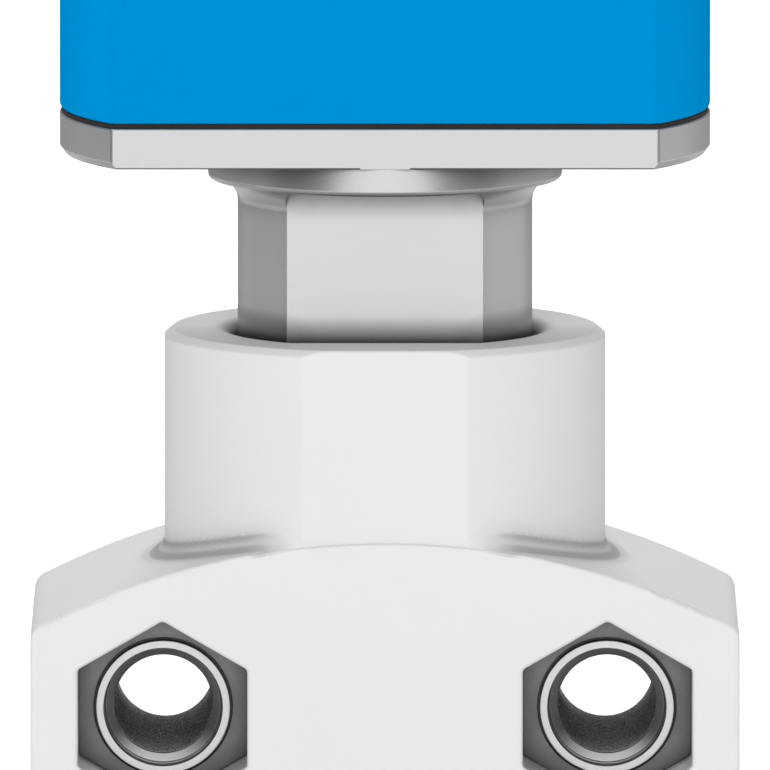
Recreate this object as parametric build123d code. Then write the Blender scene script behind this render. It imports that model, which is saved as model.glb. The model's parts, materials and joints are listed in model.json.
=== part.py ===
from build123d import *
from math import cos, radians, sin, sqrt
import os

# A pneumatic two-jaw parallel gripper on a sprung neck. All sizes are in millimetres.
# The origin is the centre of the face that meets the robot. +Z points at the robot and
# the gripper hangs below it. The ports face the front, -Y. The jaws move along X.

# Clearances
SLIDE_GAP = 0.05        # each side, between pieces that slide on each other
SEAT_GAP = 0.02         # each side, between pieces that are fitted once and stay
END_GAP = 0.5           # left at the end of a stroke

# Head: mounting plate, housing, gasket and base plate share one flatted round outline
HEAD_D = 56.0
MOUNTING_H = 6.0
HEAD_HOUSING_H = 32.0
HEAD_CORNER_R = 1.0
HEAD_EDGE_R = 0.4
GASKET_T = 0.36
GASKET_INSET = 0.15
BASE_H = 3.5
PLATE_CHAMFER_IN = 0.45
PLATE_CHAMFER_UP = 0.6
PLATE_BREAK = 0.12
PLATE_CORNER = 0.16
PLATE_EDGE = 0.15       # bottom edge of the base plate's flats

# Robot side of the mounting plate
ROBOT_PCD = 31.5
ROBOT_TAP_D = 4.2
ROBOT_PILOT_D = 20.0
ROBOT_PILOT_H = 3.0
ROBOT_PIN_D = 5.0
ROBOT_PIN_H = 4.0

# Neck, from the spring outwards
SPRING_D = 12.6
SPRING_WIRE = 1.4
SPRING_TURNS = 6.5
SPRING_PLAY = 0.7       # radial, between spring and stem
PLUG_STEP = 1.0         # radial, from the stem's bore to the plug's seat
STEM_FLAT_WALL = 1.5    # between the plug's seat and a flat
STEM_FLAT_DEPTH = 3.2
FLANGE_FILLET = 1.9
FLANGE_LAND = 0.15
FLANGE_ROUND = 0.5
FLANGE_H = 2.41
STEM_FLAT_CORNER_R = 1.0
STEM_EXPOSED = 12.93
STEM_IN = 13.5
STEM_CHAMFER = 0.6
PLUG_H = 5.0
PLUG_SPIGOT_H = 2.0
PLUG_KEY_AF = 6.0
PLUG_KEY_H = 3.0
COMPENSATION = 7.5

# Gripper housing
BODY_SIDE_WALL = 4.05   # outside a port's pocket
CROWN_R = 65.2
SHOULDER_R = 1.5
BODY_EDGE_R = 0.35
COLLAR_WALL = 6.05
COLLAR_SETBACK = 0.15   # of its flats from the body's front and back
COLLAR_H = 16.55
COLLAR_BLEND_R = 2.0
RIM_CHAMFER_IN = 0.56
RIM_CHAMFER_DOWN = 0.69
BORE_GAP = 0.25         # radial, round the stem above the liner
BORE_FLAT_GAP = 0.95
BORE_ROUND = 1.62
SPRING_SEAT_H = 1.0
ROOF_H = 2.5

# Guide liner and stop screw in the collar
LINER_DROP = 3.0
LINER_L = 10.3
LINER_WALL = 1.0
STOP_DROP = 9.5
STOP_DOG_D = 3.0
STOP_DOG_IN = 1.4
STOP_SLOT_IN = 1.6
STOP_THREAD_D = 3.3
STOP_THREAD_L = 5.6
STOP_RECESS = 0.3

# Ports
PORT_WALL = 0.31        # between a pocket and the cylinder sleeve
PORT_DROP = 15.2
POCKET_AF = 14.54
POCKET_CORNER_R = 0.5
POCKET_EDGE_R = 0.35
POCKET_DEPTH = 8.2
INSERT_HEX_L = 5.0
INSERT_WALL = 2.0
INSERT_REAR_INSET = 0.5
PORT_BORE_D = 8.6
PORT_MOUTH_D = 10.2
PORT_MOUTH_H = 1.7
PORT_CHAMFER = 0.6
RING_WALL = 0.65
RING_PROUD = 0.6
RING_GROOVE_W = 0.22
RING_GROOVE_H = 0.45
PORT_SEAL_W = 1.2
PORT_SEAL_T = 1.0
PORT_SEAL_FRONT = 2.0
PORT_SEAL_REAR = 18.0
AIRWAY_D = 2.0

# Cylinder
PISTON_STROKE = 8.0
CYLINDER_D = 20.0
SLEEVE_WALL = 1.5
BUMPER_T = 2.0
BUMPER_INSET = 1.0
BUMPER_WALL = 2.7
CAP_H = 4.0
CAP_SEAL_W = 1.2
CAP_SEAL_T = 1.0
ROD_SEAL_T = 2.0
ROD_SEAL_H = 2.2
PISTON_H = 8.0
PISTON_GAP = 0.1
PISTON_SEAL_W = 2.2
PISTON_SEAL_T = 1.8
MAGNET_W = 2.4
MAGNET_T = 1.6
PISTON_LAND = 1.1
ROD_D = 8.0

# Jaw guide, wedge and jaws
GUIDE_H = 20.0
GUIDE_CHAMFER = 0.8
JAW_GAP = 12.0          # between the jaws at their feet when open
JAW_PER_STROKE = 0.5    # jaw travel for each millimetre of piston travel
JAW_W = 13.0
JAW_HEAD_W = 19.0
JAW_HEAD_H = 6.0
JAW_DROP = 8.0
JAW_END_INSET = 0.5
JAW_CHAMFER = 0.5
JAW_LIP_H = 8.0
WEDGE_T = 10.0
WEDGE_RISE = 6.0        # the wedge's foot above the jaws' feet
WEDGE_NECK_W = 4.0
WEDGE_RIB_W = 8.0
WEDGE_RIB_OUT = 2.0     # each step of the T-shaped rib, measured along X
JAW_TAP_D = 3.3
JAW_TAP_H = 6.0
JAW_TAP_SPACING = 10.0
JAW_TAP_END = 3.5

# Screws and dowels
M3_D = 3.0
M3_TAP_D = 2.5
M3_HEAD_D = 5.5
M3_KEY_AF = 2.5
M4_D = 4.0
M4_TAP_D = 3.3
M4_HEAD_D = 7.0
M4_KEY_AF = 3.0
M3_SINK_D = 6.0
M4_SINK_D = 8.0
SINK_EDGE = 0.2
HOLE_PLAY = 0.15        # radial, round a screw's shank
SCREW_EDGE = 6.5        # from a screw between plates and housing to the round side
SCREW_Y = 7.5
HEAD_SCREW_L = 12.0
TAP_SPARE = 1.0
STEM_SCREW_WALL = 1.15  # between the plug's seat and a screw's tap
STEM_SCREW_ANGLE = 20.0
STEM_SCREW_L = 10.0
PISTON_SCREW_L = 12.0
GUIDE_SCREW_NEAR_X = 9.0
GUIDE_SCREW_END = 4.4   # from a screw to the body's end
GUIDE_WALL_IN = 1.35    # between the T-slot and a screw's head
GUIDE_WALL_OUT = 1.05   # outside a screw's head
GUIDE_SCREW_IN = 7.0
GUIDE_HEAD_SINK = 0.4
DOWEL_D = 3.0
DOWEL_L = 10.0

# Widths, from the inside out
STEM_BORE_D = SPRING_D + 2 * SPRING_PLAY
PLUG_D = STEM_BORE_D + 2 * PLUG_STEP
STEM_ACROSS = PLUG_D + 2 * STEM_FLAT_WALL
STEM_D = STEM_ACROSS + 2 * STEM_FLAT_DEPTH
FLANGE_D = STEM_D + 2 * (FLANGE_FILLET + FLANGE_LAND + FLANGE_ROUND)
HEAD_ACROSS = FLANGE_D
SCREW_X = HEAD_D / 2 - SCREW_EDGE
STEM_SCREW_R = PLUG_D / 2 + STEM_SCREW_WALL + M3_TAP_D / 2
LINER_D = STEM_D + 2 * (SLIDE_GAP + LINER_WALL)
LINER_ACROSS = STEM_ACROSS + 2 * (SLIDE_GAP + LINER_WALL)
BORE_D = STEM_D + 2 * BORE_GAP
BORE_ACROSS = STEM_ACROSS + 2 * BORE_FLAT_GAP
COLLAR_D = BORE_D + 2 * COLLAR_WALL
GUIDE_HEAD_R = M3_HEAD_D / 2 + HOLE_PLAY
GUIDE_SCREW_Y = JAW_HEAD_W / 2 + SLIDE_GAP + GUIDE_WALL_IN + GUIDE_HEAD_R
BODY_T = 2 * (GUIDE_SCREW_Y + GUIDE_HEAD_R + GUIDE_WALL_OUT)
COLLAR_ACROSS = BODY_T - 2 * COLLAR_SETBACK
FRONT = BODY_T / 2
SLEEVE_D = CYLINDER_D + 2 * SLEEVE_WALL
PORT_X = SLEEVE_D / 2 + PORT_WALL + POCKET_AF / 2
BODY_W = 2 * (PORT_X + POCKET_AF / 2 + BODY_SIDE_WALL)
GUIDE_SCREW_FAR_X = BODY_W / 2 - GUIDE_SCREW_END
DOWEL_X = (GUIDE_SCREW_NEAR_X + GUIDE_SCREW_FAR_X) / 2
BUMPER_D = CYLINDER_D - 2 * BUMPER_INSET
ROD_SEAL_D = ROD_D + 2 * ROD_SEAL_T
INSERT_SHANK_D = PORT_BORE_D + 2 * INSERT_WALL
RING_OUTER_D = PORT_MOUTH_D + 2 * RING_WALL
JAW_OUT = BODY_W / 2 - JAW_END_INSET

# Levels, from the robot down
HOUSING_TOP = -MOUNTING_H
GASKET_TOP = HOUSING_TOP - HEAD_HOUSING_H
BASE_TOP = GASKET_TOP - GASKET_T
FLANGE_TOP = BASE_TOP - BASE_H
FLANGE_LOW = FLANGE_TOP - FLANGE_H
PLUG_LOW = FLANGE_TOP - PLUG_H
RIM = FLANGE_LOW - STEM_EXPOSED
STEM_LOW = RIM - STEM_IN
CROWN = RIM - COLLAR_H
POCKET_FLOOR = STEM_LOW - COMPENSATION - END_GAP
PORT_Z = CROWN - PORT_DROP
CYLINDER_TOP = POCKET_FLOOR - ROOF_H
CYLINDER_LOW = CYLINDER_TOP - (2 * BUMPER_T + PISTON_H + PISTON_STROKE)
SPLIT = CYLINDER_LOW - CAP_H
FOOT = SPLIT - GUIDE_H
JAW_LOW = FOOT - JAW_DROP
JAW_LIP_TOP = FOOT + JAW_LIP_H
JAW_TOP = JAW_LIP_TOP + JAW_HEAD_H
PISTON_LOW = CYLINDER_LOW + BUMPER_T
PISTON_TOP = PISTON_LOW + PISTON_H
WEDGE_TOP = SPLIT - PISTON_STROKE - END_GAP
WEDGE_LOW = JAW_LOW + WEDGE_RISE
LINER_TOP = RIM - LINER_DROP
LINER_LOW = LINER_TOP - LINER_L


def disc(diameter, low, high):
    """Upright round bar between two levels."""
    return Pos(0, 0, low) * extrude(Circle(diameter / 2), high - low)


def ring(outer, inner, low, high):
    """Upright round tube between two levels."""
    return disc(outer, low, high) - disc(inner, low, high)


def flatted_outline(diameter, across):
    """Round outline with a flat at the front and one at the back."""
    return Circle(diameter / 2) & Rectangle(diameter + 1, across)


def flatted(diameter, across, low, high):
    """Upright flatted bar between two levels."""
    return Pos(0, 0, low) * extrude(flatted_outline(diameter, across), high - low)


def copies(solid, points):
    """The same solid at each of the (x, y) points, as one group."""
    return Compound([Pos(x, y, 0) * solid for x, y in points])


def cut_each(solid, tool, points):
    """Take the tool out of the solid at each of the (x, y) points."""
    for x, y in points:
        solid -= Pos(x, y, 0) * tool
    return solid


def corners(x, y):
    """The four points at plus and minus x and y."""
    return [(side_x * x, side_y * y) for side_x in (-1, 1) for side_y in (-1, 1)]


def hex_bar(across, low, high, corner_r=0.0):
    """Upright hexagonal bar with two corners on the Y axis."""
    outline = RegularPolygon(across / 2, 6, major_radius=False, rotation=90)
    if corner_r > 0:
        outline = fillet(outline.vertices(), corner_r)
    return Pos(0, 0, low) * extrude(outline, high - low)


def sunk_cone(head_d, shank_d, top):
    """Countersink below a level: a short straight edge, then a 90 degree cone."""
    cone_h = (head_d - shank_d) / 2
    cone_top = top - SINK_EDGE
    cone = Pos(0, 0, cone_top - cone_h / 2) * Cone(shank_d / 2, head_d / 2, cone_h)
    return cone + disc(head_d, cone_top, top)


def sunk_screw(shank_d, head_d, key_af, length, top):
    """Countersunk screw, flush with a level, with a hexagon socket."""
    screw = sunk_cone(head_d - 2 * SEAT_GAP, shank_d, top - SEAT_GAP)
    screw += disc(shank_d - 2 * SEAT_GAP, top - length, top - SINK_EDGE)
    return screw - hex_bar(key_af, top - (head_d - shank_d) / 2, top)


def sunk_hole(bolt_d, head_d, top, low):
    """Countersunk clearance hole through a plate, open at both faces."""
    hole = disc(bolt_d + 2 * HOLE_PLAY, low - 1, top)
    return hole + sunk_cone(head_d, bolt_d + 2 * HOLE_PLAY, top)


def cap_screw(bolt_d, tap_d, head_d, key_af, length, head_low):
    """Socket head cap screw pointing up, its head below the given level."""
    screw = disc(head_d, head_low - bolt_d, head_low)
    screw += disc(tap_d - 2 * SEAT_GAP, head_low, head_low + length)
    return screw - hex_bar(key_af, head_low - bolt_d, head_low - bolt_d / 2)


# Head

HEAD_SCREWS = corners(SCREW_X, SCREW_Y)
STEM_SCREWS = corners(
    STEM_SCREW_R * cos(radians(STEM_SCREW_ANGLE)),
    STEM_SCREW_R * sin(radians(STEM_SCREW_ANGLE)),
)
HEAD_FLATS = [(0, -HEAD_ACROSS / 2), (0, HEAD_ACROSS / 2)]
ROBOT_BOLTS = corners(ROBOT_PCD / 2 * cos(radians(45)), ROBOT_PCD / 2 * sin(radians(45)))


def edge_bar(length, leg):
    """Bar along X, turned on its edge: cuts a 45 degree break of the given leg."""
    side = leg * sqrt(2)
    return Rot(X=45) * Box(length, side, side)


def head_plate(thickness):
    """Turned plate, milled flat front and back, under its joint face at level 0."""
    r = HEAD_D / 2
    profile = make_face(Polyline(
        (0, -thickness),
        (r - PLATE_CHAMFER_IN, -thickness),
        (r, PLATE_CHAMFER_UP - thickness),
        (r, -PLATE_BREAK),
        (r - PLATE_BREAK, 0),
        (0, 0),
        close=True,
    ))
    outline = flatted_outline(HEAD_D, HEAD_ACROSS)
    outline = chamfer(outline.vertices(), PLATE_CORNER)
    plate = extrude(outline, -thickness) & revolve(Plane.XZ * profile, Axis.Z)
    return cut_each(plate, edge_bar(HEAD_D, PLATE_BREAK), HEAD_FLATS)


def make_mounting_plate():
    """Top plate with the robot's bolt circle, centring recess and pin hole."""
    plate = Pos(0, 0, HOUSING_TOP) * mirror(head_plate(MOUNTING_H), about=Plane.XY)
    plate -= disc(ROBOT_PILOT_D, -ROBOT_PILOT_H, 1)
    plate -= Pos(ROBOT_PCD / 2, 0, 0) * disc(ROBOT_PIN_D, -ROBOT_PIN_H, 1)
    plate = cut_each(plate, disc(ROBOT_TAP_D, HOUSING_TOP - 1, 1), ROBOT_BOLTS)
    return cut_each(plate, sunk_hole(M4_D, M4_SINK_D, 0, HOUSING_TOP), HEAD_SCREWS)


def make_head_housing():
    """Housing of the head, tapped at both ends for the plates' screws."""
    outline = flatted_outline(HEAD_D, HEAD_ACROSS)
    outline = fillet(outline.vertices(), HEAD_CORNER_R)
    housing = Pos(0, 0, GASKET_TOP) * extrude(outline, HEAD_HOUSING_H)
    ends = housing.faces().sort_by(Axis.Z)
    housing = fillet(ends[0].edges() + ends[-1].edges(), HEAD_EDGE_R)
    plate_tap = HEAD_SCREW_L - MOUNTING_H + TAP_SPARE
    base_tap = HEAD_SCREW_L - BASE_H - GASKET_T + TAP_SPARE
    housing = cut_each(housing, disc(M4_TAP_D, HOUSING_TOP - plate_tap, 0), HEAD_SCREWS)
    return cut_each(housing, disc(M4_TAP_D, BASE_TOP, GASKET_TOP + base_tap), HEAD_SCREWS)


def make_head_gasket():
    """Thin gasket, set in a little from the head's outline."""
    inset = 2 * GASKET_INSET
    gasket = flatted(HEAD_D - inset, HEAD_ACROSS - inset, BASE_TOP, GASKET_TOP)
    return cut_each(gasket, disc(M4_D + 2 * HOLE_PLAY, BASE_TOP - 1, HOUSING_TOP), HEAD_SCREWS)


def make_base_plate():
    """Plate under the gasket: sunk screws go up to the housing and down to the stem."""
    plate = Pos(0, 0, BASE_TOP) * head_plate(BASE_H)
    flush_x = sqrt(FLANGE_D * PLATE_EDGE - PLATE_EDGE ** 2)
    bar = Pos(flush_x + HEAD_D / 4, 0, FLANGE_TOP) * edge_bar(HEAD_D / 2, PLATE_EDGE)
    plate = cut_each(plate, bar, HEAD_FLATS)
    plate = cut_each(plate, mirror(bar, about=Plane.YZ), HEAD_FLATS)
    from_below = mirror(sunk_hole(M4_D, M4_SINK_D, -FLANGE_TOP, -BASE_TOP), about=Plane.XY)
    plate = cut_each(plate, from_below, HEAD_SCREWS)
    return cut_each(plate, sunk_hole(M3_D, M3_SINK_D, BASE_TOP, FLANGE_TOP), STEM_SCREWS)


def make_mounting_screws():
    """Countersunk screws from the robot's side into the head housing."""
    screw = sunk_screw(M4_TAP_D, M4_SINK_D, M4_KEY_AF, HEAD_SCREW_L, 0)
    return copies(screw, HEAD_SCREWS)


def make_base_screws():
    """Countersunk screws from below, through base plate and gasket."""
    screw = sunk_screw(M4_TAP_D, M4_SINK_D, M4_KEY_AF, HEAD_SCREW_L, -FLANGE_TOP)
    return copies(mirror(screw, about=Plane.XY), HEAD_SCREWS)


def make_stem_screws():
    """Countersunk screws from the base plate into the stem's wall."""
    screw = sunk_screw(M3_TAP_D, M3_SINK_D, M3_KEY_AF, STEM_SCREW_L, BASE_TOP)
    return copies(screw, STEM_SCREWS)


def stem_flat():
    """What is milled off the stem's front, with rounded upper corners."""
    width = 2 * sqrt((STEM_D / 2) ** 2 - (STEM_ACROSS / 2) ** 2) + 2 * SLIDE_GAP
    height = FLANGE_LOW - STEM_LOW
    outline = Pos(0, STEM_LOW + height / 2) * Rectangle(width, height)
    outline = fillet(outline.vertices().sort_by(Axis.Y)[-2:], STEM_FLAT_CORNER_R)
    return Pos(0, -STEM_ACROSS / 2, 0) * extrude(Plane.XZ * outline, STEM_D)


def make_stem():
    """Hollow neck, turned with a flange, its shank milled flat front and back."""
    flange = disc(FLANGE_D, FLANGE_LOW, FLANGE_TOP)
    flange = fillet(flange.edges().sort_by(Axis.Z)[:1], FLANGE_ROUND)
    shank = disc(STEM_D, STEM_LOW, FLANGE_LOW)
    shank = chamfer(shank.edges().sort_by(Axis.Z)[:1], STEM_CHAMFER)
    stem = flange + shank
    joint = [e for e in stem.edges().filter_by(GeomType.CIRCLE)
             if abs(e.center().Z - FLANGE_LOW) < 0.01 and abs(e.radius - STEM_D / 2) < 0.01]
    stem = fillet(joint, FLANGE_FILLET)
    stem -= stem_flat()
    stem -= mirror(stem_flat(), about=Plane.XZ)
    stem -= disc(STEM_BORE_D, STEM_LOW - 1, PLUG_LOW)
    stem -= disc(PLUG_D, PLUG_LOW, FLANGE_TOP + 1)
    tap_low = BASE_TOP - STEM_SCREW_L - TAP_SPARE
    stem = cut_each(stem, disc(M3_TAP_D, tap_low, FLANGE_TOP + 1), STEM_SCREWS)
    slot_outline = SlotCenterToCenter(COMPENSATION, STOP_DOG_D + 2 * SLIDE_GAP, rotation=90)
    slot_place = Plane((0, STEM_ACROSS / 2, STOP_Z + COMPENSATION / 2), x_dir=(1, 0, 0),
                       z_dir=(0, -1, 0))
    return stem - extrude(slot_place * slot_outline, STOP_SLOT_IN)


def make_preload_plug():
    """Screwed plug that seats the spring's upper end and centres it on a spigot."""
    plug = disc(PLUG_D - 2 * SEAT_GAP, PLUG_LOW, FLANGE_TOP - SEAT_GAP)
    spigot_d = SPRING_D - 2 * SPRING_WIRE - 4 * SLIDE_GAP
    plug += disc(spigot_d, PLUG_LOW - PLUG_SPIGOT_H, PLUG_LOW)
    return plug - hex_bar(PLUG_KEY_AF, FLANGE_TOP - PLUG_KEY_H, FLANGE_TOP)


def make_compensation_spring():
    """Coil spring between the gripper's pocket and the plug, ground flat at both ends."""
    low = POCKET_FLOOR - SPRING_SEAT_H
    length = PLUG_LOW - low
    pitch = length / SPRING_TURNS
    r = (SPRING_D - SPRING_WIRE) / 2
    path = Pos(0, 0, low) * Helix(pitch, length, r)
    coil = sweep((path ^ 0) * Circle(SPRING_WIRE / 2), path, is_frenet=True)
    middle = Pos(0, 0, low + length / 2)
    return coil & middle * Box(2 * SPRING_D, 2 * SPRING_D, length)


# Gripper housing and what it carries

STOP_Z = RIM - STOP_DROP
GUIDE_SCREWS = corners(GUIDE_SCREW_NEAR_X, GUIDE_SCREW_Y)
GUIDE_SCREWS += corners(GUIDE_SCREW_FAR_X, GUIDE_SCREW_Y)
DOWELS = [(DOWEL_X, GUIDE_SCREW_Y), (-DOWEL_X, -GUIDE_SCREW_Y)]


def rear_bar(diameter, near, far, level):
    """Round bar along Y between two depths, on the middle plane."""
    return Pos(0, far, level) * Rot(X=90) * extrude(Circle(diameter / 2), far - near)


def at_port(solid, side):
    """Put a piece that is drawn upright into a port, its top to the front."""
    return Pos(side * PORT_X, 0, PORT_Z) * Rot(X=90) * solid


def airway(side):
    """Slanting bore from a port to its end of the cylinder."""
    upper = CYLINDER_TOP - BUMPER_T / 2
    lower = CYLINDER_LOW + BUMPER_T / 2
    start = Vector(side * PORT_X, 0, PORT_Z)
    end = Vector(side * (CYLINDER_D / 2 - AIRWAY_D / 4), 0, upper if side < 0 else lower)
    place = Plane(origin=start, z_dir=end - start)
    return extrude(place * Circle(AIRWAY_D / 2), (end - start).length)


def body_block():
    """Wide body with an arched top, straight sides and softened edges."""
    height = CROWN - SPLIT
    outline = Pos(0, SPLIT + height / 2) * Rectangle(BODY_W, height)
    outline &= Pos(0, CROWN - CROWN_R) * Circle(CROWN_R)
    outline = fillet(outline.vertices().sort_by(Axis.Y)[-2:], SHOULDER_R)
    block = extrude(Plane.XZ * outline, FRONT, both=True)
    rims = [e for e in block.edges()
            if abs(abs(e.center().Y) - FRONT) < 0.01 and e.center().Z > SPLIT + 0.01]
    return fillet(rims, BODY_EDGE_R)


def collar_block():
    """Collar with a chamfered rim, then milled flat front and back."""
    collar = disc(COLLAR_D, PORT_Z, RIM)
    top_face = collar.faces().sort_by(Axis.Z)[-1]
    collar = chamfer(top_face.edges(), RIM_CHAMFER_DOWN, RIM_CHAMFER_IN, reference=top_face)
    collar &= Pos(0, 0, (PORT_Z + RIM) / 2) * Box(COLLAR_D, COLLAR_ACROSS, RIM - PORT_Z)
    flat_tops = collar.faces().sort_by(Axis.Z)[-1].edges().filter_by(GeomType.LINE)
    return fillet(flat_tops, BODY_EDGE_R)


def make_gripper_housing():
    """Body and collar in one casting, bored for stem, ports and cylinder."""
    housing = body_block() + collar_block()
    blends = [e for e in housing.edges()
              if e.geom_type == GeomType.BSPLINE and e.length > COLLAR_D / 2]
    housing = fillet(blends, COLLAR_BLEND_R)
    housing -= flatted(BORE_D, BORE_ACROSS, POCKET_FLOOR, RIM + 1)
    housing -= flatted(LINER_D, LINER_ACROSS, LINER_LOW, LINER_TOP)
    mouth = [e for e in housing.edges() if abs(e.center().Z - RIM) < 0.01
             and max(abs(e.center().Y), abs(e @ 0.5 - Vector(0, 0, RIM))) < BORE_D / 2 + 0.1]
    housing = fillet(mouth, BORE_ROUND)
    housing -= disc(SPRING_D + 4 * SLIDE_GAP, POCKET_FLOOR - SPRING_SEAT_H, POCKET_FLOOR)
    housing -= disc(SLEEVE_D, SPLIT - 1, CYLINDER_TOP)
    housing -= rear_bar(STOP_THREAD_D, 0, BODY_T, STOP_Z)
    for side in (-1, 1):
        pocket = hex_bar(POCKET_AF, FRONT - POCKET_DEPTH - INSERT_HEX_L, FRONT, POCKET_CORNER_R)
        housing -= at_port(pocket, side)
        mouth = [e for e in housing.edges()
                 if abs(e.center().Y + FRONT) < 0.01
                 and (e.center() - Vector(side * PORT_X, -FRONT, PORT_Z)).length
                 < POCKET_AF * 0.6]
        housing = fillet(mouth, POCKET_EDGE_R)
        housing -= at_port(disc(INSERT_SHANK_D, -BODY_T, FRONT - POCKET_DEPTH), side)
        housing -= airway(side)
    taps = disc(M3_TAP_D, SPLIT - 1, SPLIT + GUIDE_SCREW_IN + TAP_SPARE)
    housing = cut_each(housing, taps, GUIDE_SCREWS)
    return cut_each(housing, disc(DOWEL_D, SPLIT - 1, SPLIT + DOWEL_L / 2), DOWELS)


def make_guide_liner():
    """Bearing liner in the collar's bore, flatted so that the stem can't turn."""
    gap = 2 * SEAT_GAP
    low = LINER_LOW + SEAT_GAP
    high = LINER_TOP - SEAT_GAP
    liner = flatted(LINER_D - gap, LINER_ACROSS - gap, low, high)
    liner -= flatted(STEM_D + 2 * SLIDE_GAP, STEM_ACROSS + 2 * SLIDE_GAP, low, high)
    return liner - rear_bar(STOP_THREAD_D, 0, BODY_T, STOP_Z)


def make_stop_screw():
    """Dog-point screw at the rear: its dog runs in the stem's slot and ends the stroke."""
    tail = COLLAR_ACROSS / 2 - STOP_RECESS
    shoulder = tail - STOP_THREAD_L
    dog = rear_bar(STOP_DOG_D, STEM_ACROSS / 2 - STOP_DOG_IN, shoulder, STOP_Z)
    screw = dog + rear_bar(STOP_THREAD_D - 2 * SEAT_GAP, shoulder, tail, STOP_Z)
    key = Pos(0, tail, STOP_Z) * Rot(X=90) * hex_bar(STOP_DOG_D / 1.5, 0, STOP_THREAD_L / 3)
    return screw - key


def make_port_insert(side):
    """Hexagonal insert: proud ring, stepped mouth and a threaded bore right through."""
    face = FRONT - POCKET_DEPTH
    shoulder = face - INSERT_HEX_L
    tail = INSERT_REAR_INSET - FRONT
    insert = hex_bar(POCKET_AF - 2 * SEAT_GAP, shoulder, face, POCKET_CORNER_R)
    insert += disc(INSERT_SHANK_D - 2 * SEAT_GAP, tail, shoulder)
    insert -= ring(RING_OUTER_D + 2 * RING_GROOVE_W, RING_OUTER_D, face - RING_GROOVE_H, face)
    ring_top = face + RING_PROUD
    insert += disc(RING_OUTER_D, face - RING_GROOVE_H, ring_top)
    insert -= disc(PORT_MOUTH_D, ring_top - PORT_MOUTH_H, ring_top)
    insert -= disc(PORT_BORE_D, tail, face)
    chamfer_low = ring_top - PORT_MOUTH_H - PORT_CHAMFER / 2
    insert -= Pos(0, 0, chamfer_low) * Cone(
        PORT_BORE_D / 2, PORT_BORE_D / 2 + PORT_CHAMFER, PORT_CHAMFER)
    insert -= Pos(0, 0, tail + PORT_CHAMFER / 2) * Cone(
        PORT_BORE_D / 2 + PORT_CHAMFER, PORT_BORE_D / 2, PORT_CHAMFER)
    for drop in (PORT_SEAL_FRONT, PORT_SEAL_REAR):
        insert -= port_seal_groove(shoulder - drop)
    return at_port(insert, side) - airway(side)


def port_seal_groove(high):
    """Ring cut round the insert's shank for a seal."""
    return ring(INSERT_SHANK_D + 1, INSERT_SHANK_D - 2 * PORT_SEAL_T, high - PORT_SEAL_W, high)


def make_port_seals():
    """Sealing rings round the shanks of both inserts."""
    shoulder = FRONT - POCKET_DEPTH - INSERT_HEX_L
    seals = []
    for side in (-1, 1):
        for drop in (PORT_SEAL_FRONT, PORT_SEAL_REAR):
            high = shoulder - drop - SEAT_GAP
            low = shoulder - drop - PORT_SEAL_W + SEAT_GAP
            seal = ring(INSERT_SHANK_D - SEAT_GAP,
                        INSERT_SHANK_D - 2 * PORT_SEAL_T + 2 * SEAT_GAP, low, high)
            seals.append(at_port(seal, side))
    return Compound(seals)


def make_cylinder_sleeve():
    """Hard sleeve that the piston runs in."""
    sleeve = ring(SLEEVE_D - 2 * SEAT_GAP, CYLINDER_D, CYLINDER_LOW, CYLINDER_TOP)
    return sleeve - airway(-1) - airway(1)


def make_bumper(low):
    """Soft ring that ends the piston's stroke."""
    return ring(BUMPER_D, BUMPER_D - 2 * BUMPER_WALL, low, low + BUMPER_T - SLIDE_GAP)


def make_cylinder_cap():
    """Lower end of the cylinder: guides the rod and holds both seals."""
    cap = disc(SLEEVE_D - 2 * SEAT_GAP, SPLIT, CYLINDER_LOW)
    cap -= disc(ROD_D + 2 * SLIDE_GAP, SPLIT - 1, CYLINDER_LOW + 1)
    cap -= disc(ROD_SEAL_D, CYLINDER_LOW - ROD_SEAL_H, CYLINDER_LOW + 1)
    middle = (SPLIT + CYLINDER_LOW) / 2
    groove = ring(SLEEVE_D + 1, SLEEVE_D - 2 * CAP_SEAL_T,
                  middle - CAP_SEAL_W / 2, middle + CAP_SEAL_W / 2)
    return cap - groove


def make_cap_seal():
    """Sealing ring round the cap."""
    middle = (SPLIT + CYLINDER_LOW) / 2
    half = CAP_SEAL_W / 2 - SEAT_GAP
    return ring(SLEEVE_D - SEAT_GAP, SLEEVE_D - 2 * CAP_SEAL_T + 2 * SEAT_GAP,
                middle - half, middle + half)


def make_rod_seal():
    """Seal round the rod, in the cap's top."""
    low = CYLINDER_LOW - ROD_SEAL_H
    return ring(ROD_SEAL_D - 2 * SEAT_GAP, ROD_D + 2 * SLIDE_GAP, low, CYLINDER_LOW - SEAT_GAP)


# Piston and wedge

def make_piston():
    """Piston with a groove for its seal, one for its magnet and a sunk screw."""
    piston = disc(CYLINDER_D - 2 * PISTON_GAP, PISTON_LOW, PISTON_TOP)
    piston -= ring(CYLINDER_D + 1, CYLINDER_D - 2 * PISTON_GAP - 2 * PISTON_SEAL_T,
                   PISTON_TOP - PISTON_LAND - PISTON_SEAL_W, PISTON_TOP - PISTON_LAND)
    piston -= ring(CYLINDER_D + 1, CYLINDER_D - 2 * PISTON_GAP - 2 * MAGNET_T,
                   PISTON_LOW + PISTON_LAND, PISTON_LOW + PISTON_LAND + MAGNET_W)
    piston -= disc(M4_D + 2 * HOLE_PLAY, PISTON_LOW - 1, PISTON_TOP)
    return piston - disc(M4_HEAD_D + 2 * HOLE_PLAY, PISTON_TOP - M4_D - HOLE_PLAY, PISTON_TOP + 1)


def make_piston_seal():
    """Seal in the piston's upper groove."""
    high = PISTON_TOP - PISTON_LAND - SEAT_GAP
    inner = CYLINDER_D - 2 * PISTON_GAP - 2 * PISTON_SEAL_T + 2 * SEAT_GAP
    return ring(CYLINDER_D - SLIDE_GAP, inner, high - PISTON_SEAL_W + 2 * SEAT_GAP, high)


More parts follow.
